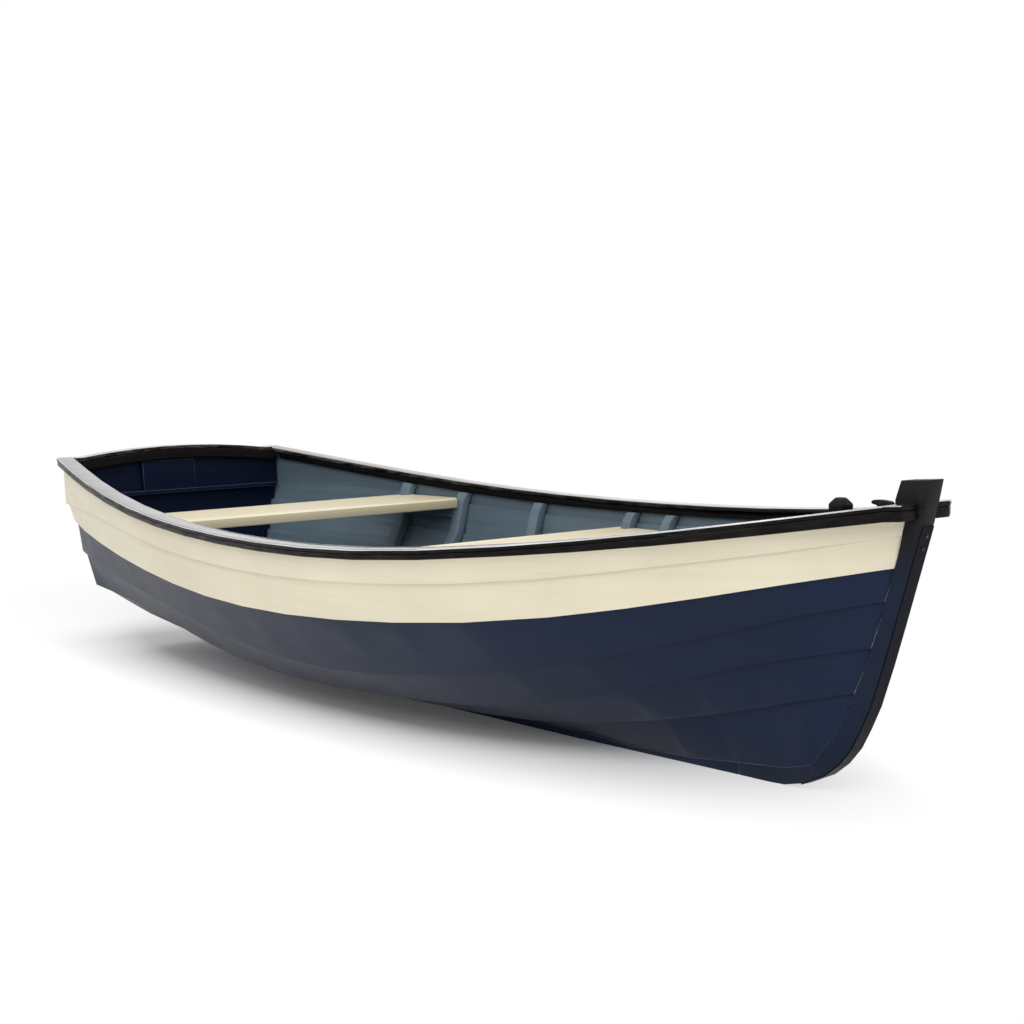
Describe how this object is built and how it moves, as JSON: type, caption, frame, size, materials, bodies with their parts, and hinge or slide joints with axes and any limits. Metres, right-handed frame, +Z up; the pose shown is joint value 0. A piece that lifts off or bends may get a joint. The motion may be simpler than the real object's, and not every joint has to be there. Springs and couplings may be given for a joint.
{
  "type": "clinker rowing skiff",
  "caption": "Small open clinker-planked wooden skiff with transom stern, keel, bent frames, two thwarts and painted hull.",
  "frame": {"origin": "on the floor under the keel, at half the overall length, on the centreline", "axes": "+X towards the bow, +Y to port, +Z up from the keel's underside"},
  "size_m": [3.076, 1.4492, 0.72],
  "materials": {
    "cream_paint": "cream gloss paint on planks",
    "thwart_paint": "satin cream paint on board",
    "navy_paint": "semi-gloss navy paint on planks",
    "grey_blue_paint": "satin grey-blue paint",
    "black_paint": "black gloss paint on hardwood",
    "band_metal": "black painted half-round strip",
    "black_iron": "black coated casting"
  },
  "bodies": {
    "root": {"strake_1_port": "cream_paint", "strake_2_port": "cream_paint", "strake_3_port": "navy_paint", "strake_4_port": "navy_paint", "strake_5_port": "navy_paint", "strake_6_port": "navy_paint", "strake_1_starboard": "cream_paint", "strake_2_starboard": "cream_paint", "strake_3_starboard": "navy_paint", "strake_4_starboard": "navy_paint", "strake_5_starboard": "navy_paint", "strake_6_starboard": "navy_paint", "keel": "navy_paint", "hog": "grey_blue_paint", "stern_knee": "grey_blue_paint", "stem": "black_paint", "apron": "grey_blue_paint", "stem_band": "band_metal", "transom": "navy_paint", "transom_cap": "black_paint", "transom_beam": "black_paint", "motor_pad": "navy_paint", "transom_ledge": "navy_paint", "gunwale_cap_port": "black_paint", "gunwale_cap_starboard": "black_paint", "rubbing_rail_port": "black_paint", "rubbing_rail_starboard": "black_paint", "inwale_port": "black_paint", "inwale_starboard": "black_paint", "breasthook": "black_paint", "mooring_bitt": "black_paint", "bow_cleat": "black_iron", "frame_1": "grey_blue_paint", "frame_2": "grey_blue_paint", "frame_3": "grey_blue_paint", "frame_4": "grey_blue_paint", "frame_5": "grey_blue_paint", "frame_6": "grey_blue_paint", "frame_7": "grey_blue_paint", "frame_8": "grey_blue_paint", "bottom_board_port": "grey_blue_paint", "bottom_board_starboard": "grey_blue_paint", "aft_thwart": "thwart_paint", "forward_thwart": "thwart_paint", "aft_thwart_cleat_port": "grey_blue_paint", "aft_thwart_cleat_starboard": "grey_blue_paint", "forward_thwart_cleat_port": "grey_blue_paint", "forward_thwart_cleat_starboard": "grey_blue_paint"}
  },
  "joints": []
}
